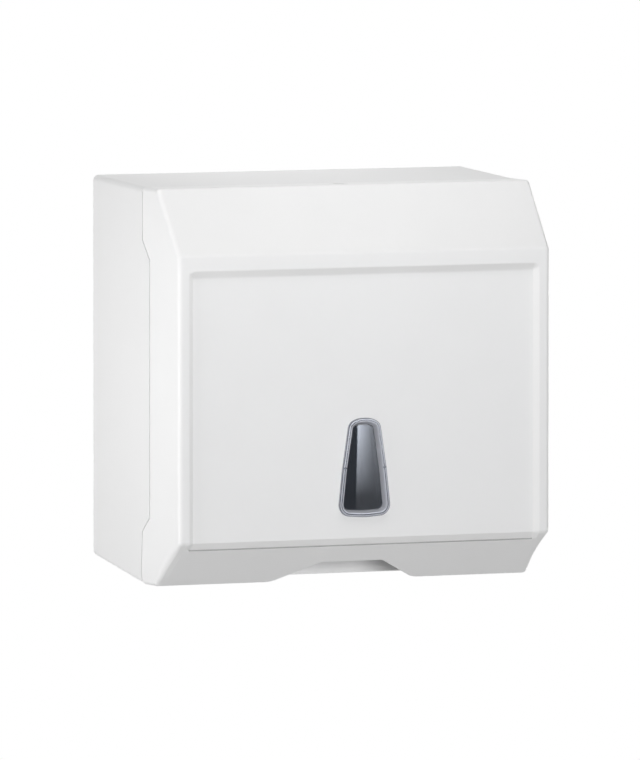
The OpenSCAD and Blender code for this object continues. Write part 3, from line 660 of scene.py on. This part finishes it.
def inner_outlines(foot, soft, end):
    """The same outlines one wall further in, with the panel's plain back, up to an end point."""
    slant_top = TOP_EDGE + WALL * SLANT_RUN - SLANT_WALL
    slant_foot = HEIGHT - (DEPTH - WALL + SLANT_WALL - TOP_EDGE) / SLANT_RUN
    step = PANEL_TOP + WALL

    def outline(panel):
        front = PANEL_BACK if panel else DEPTH - WALL
        low = height_on_bevel(front + BEVEL_WALL)
        return walk([
            (SEAM_DEPTH + SEAM_GAP, HEIGHT - WALL, 0, 0, 0),
            (slant_top, HEIGHT - WALL, EDGE - WALL, 8, 3),
            (DEPTH - WALL, slant_foot, EDGE - WALL, 8, 6),
            (DEPTH - WALL, step + INNER_STEP_UP, INNER_STEP_ROUND, 6, 2),
            (front, step - INNER_STEP_DOWN, INNER_STEP_ROUND, 6, 2),
            (front, low, INNER_FOLD, 8, 18),
            *[(bevel_at(h) - BEVEL_WALL, h, INNER_SPREAD, *rows)
              for h, rows in zip(INNER_ROWS, CREASE_ROWS)],
            (bevel_at(foot) - BEVEL_WALL, foot, soft, 6, 10),
            (*end, 0, 0, 4),
        ])
    return outline(False), outline(True)


rim_points = outer_outlines(0.0, EDGE, seam_arc_depth(0.0))[0][0]
print("each outline has", len(rim_points), "points")

# %% [markdown]
# The columns stand closest where the surface turns: at the wall of the sunk panel
# and at the corners of the finger notch. Each column carries three numbers: how
# far it belongs to the panel outside and inside, and where its lower edge is.

# %% Columns of the net
SIDE_ROUND = 2.9
BEVEL_ROUND = 6.0
INNER_ROUND = SIDE_ROUND - WALL
SIDE_BORDER = 1.3
TAPER_FROM = 100.0
LAST_COLUMN = HALF - SIDE_ROUND
LUG_ROOM = 0.1        # the open bottom ends this close to the side edge, clear of the hinge lugs
WALL_ROUNDS = (1.0, 1.6)
WALL_BEFORE, WALL_AFTER = 1.1, 5.0
NOTCH_ROUNDS = (16.0, 9.0)
NOTCH_END = NOTCH_BASE / 2 + 6


def drawn_in(x):
    """Share of the side taper that a column takes."""
    return min(max((abs(x) - TAPER_FROM) / (LAST_COLUMN - TAPER_FROM), 0.0), 1.0)


def on_net(x):
    """Where a column starts at the back so that it stands at x on the front."""
    share = SIDE_TAPER / (LAST_COLUMN - TAPER_FROM)
    return (x - share * TAPER_FROM) / (1 - share)


floor_half = PANEL_HALF - PANEL_SIDE
wall_points = walk([
    (PANEL_HALF + WALL_BEFORE, DEPTH, 0, 0, 0), (PANEL_HALF, DEPTH, WALL_ROUNDS[0], 6, 1),
    (floor_half, PANEL_FLOOR, WALL_ROUNDS[1], 8, 2),
    (floor_half - WALL_AFTER, PANEL_FLOOR, 0, 0, 2)])[0]
notch_points = walk([
    (NOTCH_END, 0, 0, 0, 0), (NOTCH_BASE / 2, 0, NOTCH_ROUNDS[0], 10, 1),
    (NOTCH_TOP / 2, NOTCH_HEIGHT, NOTCH_ROUNDS[1], 10, 6), (0, NOTCH_HEIGHT, 0, 0, 5)])[0]
wall_x = [on_net(p[0]) for p in wall_points]
inner_wall = [on_net(floor_half + SIDE_BORDER), on_net(PANEL_HALF + SIDE_BORDER)]
right = sorted(set(
    [round(p[0], 4) for p in notch_points] + list(np.linspace(NOTCH_END, TAPER_FROM, 6))
    + list(np.linspace(TAPER_FROM, min(wall_x), 5)) + wall_x
    + inner_wall + [LAST_COLUMN - LUG_ROOM]))
columns = [-x for x in reversed(right) if x > 0] + right


def panel_share(x):
    """How far a column lies on the sunk panel: 0 on the rim, 1 on the floor."""
    sunk = (DEPTH - wall_points[:, 1]) / PANEL_SINK
    return float(np.interp(-abs(x), [-v for v in wall_x], sunk))


def lower_edge(x):
    """Height of the bevel's lower edge, raised in the finger notch."""
    return float(np.interp(-abs(x), -notch_points[:, 0], notch_points[:, 1]))


print(len(columns), "columns; notch is", round(lower_edge(0), 1), "mm high")

# %% [markdown]
# Now the net itself. The side edges are rounded by drawing the outline inwards
# while the column moves out, and the last column borders a flat side wall. An
# inner net runs one wall behind the outer one.

# %% Outer and inner nets
SIDE_STEPS = 8
SOFT_HEIGHTS = [0.5, 11.0, 19.0, 31.0]        # the side edge is softest half-way down the bevel
SOFT_SHARES = [0.0, 1.0, 1.0, 0.0]
NOTCH_SOFT, NOTCH_SOFT_FROM = 0.8, 2.0
LIP = 0.9
INNER_FOOT = 0.6        # the inner net ends this far above the outer one
INNER_TURN, INNER_SOFT, INNER_SIDE_SOFT = 2.0, 0.4, 0.3


def edge_inset(x, depth, height, radius, wall):
    """How far a point is drawn in by the rounded side edge."""
    extra = BEVEL_ROUND - SIDE_ROUND if radius == SIDE_ROUND else 0.0
    radius = radius + extra * float(np.interp(height, SOFT_HEIGHTS, SOFT_SHARES))
    beyond = max(abs(x) - (HALF - wall - taper(depth) - radius), 0.0)
    return radius - math.sqrt(max(radius ** 2 - beyond ** 2, 0.0))


def mixed(outlines, share):
    """A column between two outlines: points and outward directions."""
    (a, a_out), (b, b_out) = outlines
    return a + share * (b - a), a_out + share * (b_out - a_out)


def front_outline(x, inside):
    """Points and outward directions of one column, from the joint to its lower edge."""
    foot = lower_edge(x)
    if inside:
        low = foot + INNER_FOOT
        end = (bevel_at(low) - BEVEL_WALL, low)
        share = float(np.interp(abs(x), inner_wall, [1.0, 0.0]))
        return mixed(inner_outlines(foot + INNER_TURN, INNER_SOFT, end), share)
    soft = EDGE + (NOTCH_SOFT - EDGE) * min(foot / NOTCH_SOFT_FROM, 1.0)
    back = bevel_at(foot) - BEVEL_WALL + LIP
    return mixed(outer_outlines(foot, soft, back), panel_share(x))


def side_edge(inside, wall, radius):
    """The columns round the right side edge, from the front to the flat side."""
    base = INNER_FOOT if inside else 0.0
    if inside:
        points, outs = inner_outlines(base, INNER_SIDE_SOFT, (seam_arc_depth(base), base))[0]
    else:
        points, outs = outer_outlines(base, EDGE, seam_arc_depth(base))[0]
    edge = []
    for k in range(SIDE_STEPS + 1):
        angle = math.pi / 2 * (1 - k / SIDE_STEPS)
        low = base + radius * (1 - math.sin(angle))
        spots = [HALF - wall - taper(d) - radius + radius * math.cos(angle) for d, h in points]
        insets = [edge_inset(x, d, h, radius, wall) for x, (d, h) in zip(spots, points)]
        column = points - outs * np.array(insets)[:, None]
        column[0] = (SEAM_DEPTH + SEAM_GAP, column[0][1])
        column[-1] = (seam_arc_depth(low), low)
        edge.append([(x, d, h) for x, (d, h) in zip(spots, column)])
    return edge


def net_columns(inside):
    """All columns of one net, from left to right, as lists of (x, depth, height)."""
    wall = WALL if inside else 0.0
    radius = INNER_ROUND if inside else SIDE_ROUND
    net = []
    for x in columns:
        sign = math.copysign(drawn_in(x), x)
        column = []
        for (d, h), out in zip(*front_outline(x, inside)):
            across = x - sign * taper(d)
            spot = np.array([d, h]) - out * edge_inset(across, d, h, radius, wall)
            column.append((across, *spot))
        net.append(column)
    right_edge = side_edge(inside, wall, radius)
    left_edge = [[(-x, d, h) for x, d, h in column] for column in reversed(right_edge)]
    return left_edge + net + right_edge


outer, inner = net_columns(False), net_columns(True)
print("each net has", len(outer), "columns")

# %% [markdown]
# On each side the joint runs down, steps forward, steps back again near the foot,
# and ends in an arc about the hinge, so that the cover can swing. Both nets are
# sewn together along the joint and the lower edge, so that the cover is a closed
# shell.

# %% Weave the cover
SEAM_ROUND = 1.2
SEAM_START = 5.0        # below the top, where the rounded side edge has ended
ARC_TOP = 13.4
ARC_HEIGHTS = (12.0, 10.5, 9.0, 7.5, 6.2, 5.0, 4.2)


def seam_points():
    """The joint seen from the side, from the top down to the round end at the hinge."""
    upper, lower = SEAM_DEPTH + SEAM_GAP, SEAM_DEPTH + SEAM_GAP + SEAM_STEP
    line = walk([(upper, HEIGHT - SEAM_START, 0, 0, 0),
                 (upper, HEIGHT - STEP_DROP, SEAM_ROUND, 4, 2),
                 (lower, HEIGHT - STEP_DROP - STEP_RISE, SEAM_ROUND, 4, 1),
                 (lower - SEAM_LEAN, LOWER_STEP, SEAM_ROUND, 4, 6),
                 (upper - SEAM_LEAN, LOWER_STEP - LOWER_RISE, SEAM_ROUND, 4, 1),
                 (seam_arc_depth(ARC_TOP), ARC_TOP, 0, 0, 3)])[0]
    arc = [(seam_arc_depth(h), h) for h in ARC_HEIGHTS]
    return [tuple(p) for p in line] + arc


def weave_cover():
    """The cover's mesh: outer and inner nets, side walls, joint and lower edges."""
    seam = seam_points()
    rows, wide = len(outer[0]), len(outer)
    points = [p for net in (outer, inner) for column in net for p in column]
    faces = []

    def at(net, c, r):
        return (net * wide + c) * rows + r

    for c in range(wide - 1):
        for r in range(rows - 1):
            faces.append((at(0, c, r), at(0, c, r + 1), at(0, c + 1, r + 1), at(0, c + 1, r)))
            faces.append((at(1, c, r), at(1, c + 1, r), at(1, c + 1, r + 1), at(1, c, r + 1)))
        for r in (0, rows - 1):
            faces.append((at(0, c, r), at(0, c + 1, r), at(1, c + 1, r), at(1, c, r)))
    for c, sign in ((0, -1), (wide - 1, 1)):
        lines = []
        for net, wall in ((0, 0.0), (1, WALL)):
            start = len(points)
            points += [(sign * (HALF - wall - taper(d)), d, h) for d, h in seam]
            middle_part = list(range(start, len(points)))
            lines.append([at(net, c, 0)] + middle_part + [at(net, c, rows - 1)])
            faces.append([at(net, c, r) for r in range(rows)] + middle_part[::-1])
        for i in range(len(seam) + 1):
            faces.append((lines[0][i], lines[0][i + 1], lines[1][i + 1], lines[1][i]))
    return points, faces


def solid(name, points, faces):
    """A mesh object from millimetre points, with its faces turned outwards."""
    mesh = bpy.data.meshes.new(name)
    mesh.from_pydata([place(*p) for p in points], [], faces)
    work = bmesh.new()
    work.from_mesh(mesh)
    bmesh.ops.recalc_face_normals(work, faces=work.faces)
    work.to_mesh(mesh)
    work.free()
    made = bpy.data.objects.new(name, mesh)
    bpy.context.scene.collection.objects.link(made)
    return made


cover = solid("front_cover_moulding", *weave_cover())
print("cover net:", len(cover.data.vertices), "points,", len(cover.data.polygons), "faces")

# %% [markdown]
# The window opening, the lock hole and the hinge ears interrupt the net, and here
# a boolean is the honest tool: these are edges a mould closes off sharply. Each
# cutter is a loft, a stack of rings of points with equal counts and a cap at
# both ends. The same tool builds the window itself further down.

# %% Lofts and booleans


def loft(name, rings):
    """A closed solid through rings of (x, depth, height) points, capped at both ends."""
    count = len(rings[0])
    points = [p for ring in rings for p in ring]
    faces = [tuple(range(count)), tuple(range(len(points) - count, len(points)))]
    for k in range(len(rings) - 1):
        for i in range(count):
            j = (i + 1) % count
            faces.append((k * count + i, k * count + j, (k + 1) * count + j, (k + 1) * count + i))
    return solid(name, points, faces)


def circle(radius, steps=48):
    """Points of a circle about the origin."""
    return [(radius * math.cos(2 * math.pi * k / steps), radius * math.sin(2 * math.pi * k / steps))
            for k in range(steps)]


def combine(target, tool, operation):
    """Adds or cuts a solid and removes the tool."""
    change = target.modifiers.new(operation, "BOOLEAN")
    change.operation = operation
    change.solver = "EXACT"
    change.object = tool
    changed = target.evaluated_get(bpy.context.evaluated_depsgraph_get())
    result = bpy.data.meshes.new_from_object(changed)
    target.modifiers.clear()
    target.data = result
    bpy.data.objects.remove(tool)


print("a round cutter has", len(circle(1.0)), "points in each ring")

# %% [markdown]
# The window's outline is drawn once, clockwise from half-way up its left side.
# Drawn in, it cuts the opening here, and the window itself grows from it later.

# %% Window outline and opening
WINDOW_FOOT = 45.4
WINDOW_HEIGHT = 67.9
WINDOW_BASE, WINDOW_SHOULDER, WINDOW_CROWN = 39.6, 23.1, 9.7
WINDOW_DOME, WINDOW_BOW, WINDOW_BULGE = 3.2, 1.4, 0.7
SHOULDER_ROUND, CROWN_ROUND, BASE_ROUND = 6.5, 16.0, 8.0
SIDE_SWEEP, FOOT_SWEEP = 200.0, 60.0
OPENING_INSET = 2.5
CUT_MARGIN = 2.0

crown_height = WINDOW_FOOT + WINDOW_HEIGHT
shoulder_height = crown_height - WINDOW_DOME
base_height = WINDOW_FOOT + WINDOW_BOW
half_width = (WINDOW_BASE + WINDOW_SHOULDER) / 4 + WINDOW_BULGE
half_height = (base_height + shoulder_height) / 2
window_points, window_outs = walk([
    (-half_width, half_height, 0, 0, 0),
    (-WINDOW_SHOULDER / 2, shoulder_height, SHOULDER_ROUND, 8, 8),
    (-WINDOW_CROWN / 2, crown_height, CROWN_ROUND, 6, 2),
    (WINDOW_CROWN / 2, crown_height, CROWN_ROUND, 6, 3),
    (WINDOW_SHOULDER / 2, shoulder_height, SHOULDER_ROUND, 8, 2),
    (half_width, half_height, SIDE_SWEEP, 6, 6),
    (WINDOW_BASE / 2, base_height, BASE_ROUND, 10, 6),
    (0, WINDOW_FOOT, FOOT_SWEEP, 6, 3),
    (-WINDOW_BASE / 2, base_height, BASE_ROUND, 10, 3),
    (-half_width, half_height, 0, 0, 8)])
window_points, window_outs = window_points[:-1], window_outs[:-1]


def window_ring(inset, depth):
    """The window's outline drawn in by a distance, at a depth."""
    return [(p[0], depth, p[1]) for p in window_points - window_outs * inset]


opening = loft("window_opening", [window_ring(OPENING_INSET, PANEL_BACK - CUT_MARGIN),
                                  window_ring(OPENING_INSET, PANEL_FLOOR + CUT_MARGIN)])
combine(cover, opening, "DIFFERENCE")
print("cover with its window opening:", len(cover.data.polygons), "faces")

# %% [markdown]
# Two ears behind the bevel carry the hinge pins, and the lock's barrel passes
# through the top with its flange let in flush.

# %% Hinge ears and lock hole
EAR_INNER, EAR_OUTER = 127.9, 131.9
EAR_FOOT, EAR_TOP, EAR_BITE = 2.4, 17.0, 1.2
HUB_RADIUS = 7.0
PIN_BORE = 2.51
LOCK_DEPTH, LOCK_BORE, LOCK_SEAT, LOCK_SEAT_DROP = 98.5, 5.05, 6.6, 0.8

hub = [(PIVOT_DEPTH + HUB_RADIUS * math.cos(a), PIVOT_HEIGHT + HUB_RADIUS * math.sin(a))
       for a in map(math.radians, range(90, 281, 10))]
arm = [(bevel_at(h) - BEVEL_WALL + EAR_BITE, h) for h in (EAR_FOOT, EAR_TOP)]
for sign in (-1, 1):
    ear = loft("hinge_ear", [[(sign * x, d, h) for d, h in hub + arm]
                             for x in (EAR_INNER, EAR_OUTER)])
    combine(cover, ear, "UNION")
    bore = loft("pin_bore", [[(sign * x, PIVOT_DEPTH + d, PIVOT_HEIGHT + h)
                              for d, h in circle(PIN_BORE)]
                             for x in (EAR_INNER - 1, EAR_OUTER + 1)])
    combine(cover, bore, "DIFFERENCE")
for radius, low in ((LOCK_BORE, HEIGHT - WALL - 1), (LOCK_SEAT, HEIGHT - LOCK_SEAT_DROP)):
    hole = loft("lock_hole", [[(x, LOCK_DEPTH + d, z) for x, d in circle(radius)]
                              for z in (low, HEIGHT + 1)])
    combine(cover, hole, "DIFFERENCE")
print("cover with ears and lock hole:", len(cover.data.polygons), "faces")

# %% [markdown]
# Last come shading and plastic. The faces inside the thin crease are picked out by
# where they lie and get the greyer plastic, which is painted shade.

# %% Finish the cover
CREASE_MOUTH = 0.3
FACES_BACK = 0.3


def soften(piece, degrees):
    """Smooth shading up to an angle, with flat faces leading at the edges."""
    piece.data.shade_smooth()
    piece.data.set_sharp_from_angle(angle=math.radians(degrees))
    weighted = piece.modifiers.new("weighted_normals", "WEIGHTED_NORMAL")
    weighted.keep_sharp = True


soften(cover, degrees=35)
cover.data.materials.clear()
cover.data.materials.append(white_abs)
cover.data.materials.append(crease_shade_abs)
crease_depth = bevel_at(STRIP_FOOT) - STRIP_EDGE_SINK - CREASE_MOUTH
_, crease_back, crease_top = place(0, crease_depth, STRIP_FOOT)
crease_foot = place(0, crease_depth, STRIP_FOOT - CREASE_HEIGHT)[2]
# Faces inside the crease get the painted shade.
for polygon in cover.data.polygons:
    spot = polygon.center
    within = abs(spot.x) < PANEL_HALF * MM and crease_foot <= spot.z <= crease_top
    sunk = spot.y > crease_back and polygon.normal.y < FACES_BACK
    polygon.material_index = int(within and sunk)
print("crease:", sum(p.material_index for p in cover.data.polygons), "faces")
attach(cover, "cover")
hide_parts("front_cover")
print("finished cover:", len(cover.data.vertices), "points")

# %% [markdown]
# ## Level window
# The window is a small clear moulding pushed in from the front: a flat rim that
# lies on the panel, a slope down to a sunk lens, and a skirt through the opening.
# The CAD window also has two snap tabs behind the panel, which are left out here.
# Over the white panel the plastic looks pale, over the dark chamber the lens looks
# smoked. The lens bulges like a slice of a tube, which draws the studio into an
# upright gradient. The piece is a loft of its own outline, drawn in ring by ring
# from the lens over the rim and back up inside.

# %% Rings of the level window
SKIRT_DEPTH = 10.0
SKIRT_INSET, SKIRT_WALL = 2.65, 1.45
WINDOW_FLANGE, WINDOW_RIM, WINDOW_SINK = 2.2, 2.7, 3.8
LENS_INSET = WINDOW_RIM + 2.0
LENS_RISE = 0.7
LENS_THICK = 1.5
LENS_RINGS = 16
LENS_CENTRE = 0.46               # share of the window's height
LENS_REACH = [17.3, 14.3]        # half width of the bulge at the foot and at the crown
SLOPE_FOOT_IN, SLOPE_FOOT_UP = 0.3, 0.05

face = PANEL_FLOOR + WINDOW_FLANGE
lens_edge = face - WINDOW_SINK
# Inset and depth of each ring over the rim, its groove and outer edge, to the skirt.
RIM = [(WINDOW_RIM + 0.15, face - 0.17), (WINDOW_RIM + 0.05, face - 0.05), (WINDOW_RIM - 0.1, face),
       (2.0, face), (1.8, face - 0.2), (1.5, face - 0.2), (1.35, face), (0.7, face),
       (0.5, face - 0.03), (0.25, face - 0.14), (0.08, face - 0.35), (0.0, face - 0.7),
       (0.0, PANEL_FLOOR + 0.4), (0.04, PANEL_FLOOR + 0.14), (0.25, PANEL_FLOOR + 0.02),
       (SKIRT_INSET, PANEL_FLOOR + 0.02), (SKIRT_INSET, PANEL_FLOOR - SKIRT_DEPTH),
       (SKIRT_INSET + SKIRT_WALL, PANEL_FLOOR - SKIRT_DEPTH)]
lens_centre = np.array([0.0, WINDOW_FOOT + WINDOW_HEIGHT * LENS_CENTRE])


def lens_ring(inset, share, depth):
    """The outline shrunk towards the lens centre, on a bulge that is wider at the foot."""
    flat = lens_centre + (window_points - window_outs * inset - lens_centre) * share
    reach = np.interp(flat[:, 1], [WINDOW_FOOT, crown_height], LENS_REACH)
    return [(x, depth + LENS_RISE * (1 - (x / r) ** 2), h) for (x, h), r in zip(flat, reach)]


shares = [1 - (k / LENS_RINGS) ** 2 for k in range(LENS_RINGS)]
rings = [lens_ring(LENS_INSET, s, lens_edge) for s in reversed(shares)]
rings += [lens_ring(LENS_INSET - SLOPE_FOOT_IN, 1.0, lens_edge + SLOPE_FOOT_UP)]
rings += [window_ring(*r) for r in RIM]
rings += [lens_ring(SKIRT_INSET + SKIRT_WALL, s, lens_edge - LENS_THICK) for s in shares]
window = loft("level_window_moulding", rings)
print("window:", len(window.data.polygons), "faces in", len(rings), "rings")

# %% [markdown]
# Two short cuts cross the rim at half height. They stand for the small dark ticks
# on the real window, taken as the places where its snap tabs are released.

# %% Tab cuts and the window's plastics
TAB_HEIGHT = WINDOW_FOOT + WINDOW_HEIGHT / 2
TAB_HALF = 0.5
TAB_INNER, TAB_OUTER = 13.5, 16.1
TAB_DEEP, TAB_CLEAR = 0.8, 1.0
# The darker edge plastic on these rings is painted shade.
EDGE_RINGS = (-1, 4, 5, 6, 9, 10, 11)        # foot of the slope, groove and outer edge
for plastic in (clear_rim, smoked_lens, smoked_edge_shade):
    window.data.materials.append(plastic)
for i, polygon in enumerate(window.data.polygons):
    ring = (i - 2) // len(window_points)
    on_lens = i < 2 or ring < LENS_RINGS - 1 or ring >= len(rings) - LENS_RINGS
    on_edge = ring - LENS_RINGS in EDGE_RINGS
    polygon.material_index = 1 if on_lens else 2 if on_edge else 0
low, high = TAB_HEIGHT - TAB_HALF, TAB_HEIGHT + TAB_HALF
tab_corners = [(TAB_INNER, low), (TAB_OUTER, low), (TAB_OUTER, high), (TAB_INNER, high)]
for sign in (-1, 1):
    cut = loft("tab_cut", [[(sign * x, d, h) for x, h in tab_corners]
                           for d in (face - TAB_DEEP, face + TAB_CLEAR)])
    # The cut's faces take the painted shade of the edge plastic.
    cut.data.materials.append(smoked_edge_shade)
    combine(window, cut, "DIFFERENCE")
soften(window, degrees=40)
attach(window, "cover")
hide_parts("level_window")
print("finished window:", len(window.data.vertices), "points")
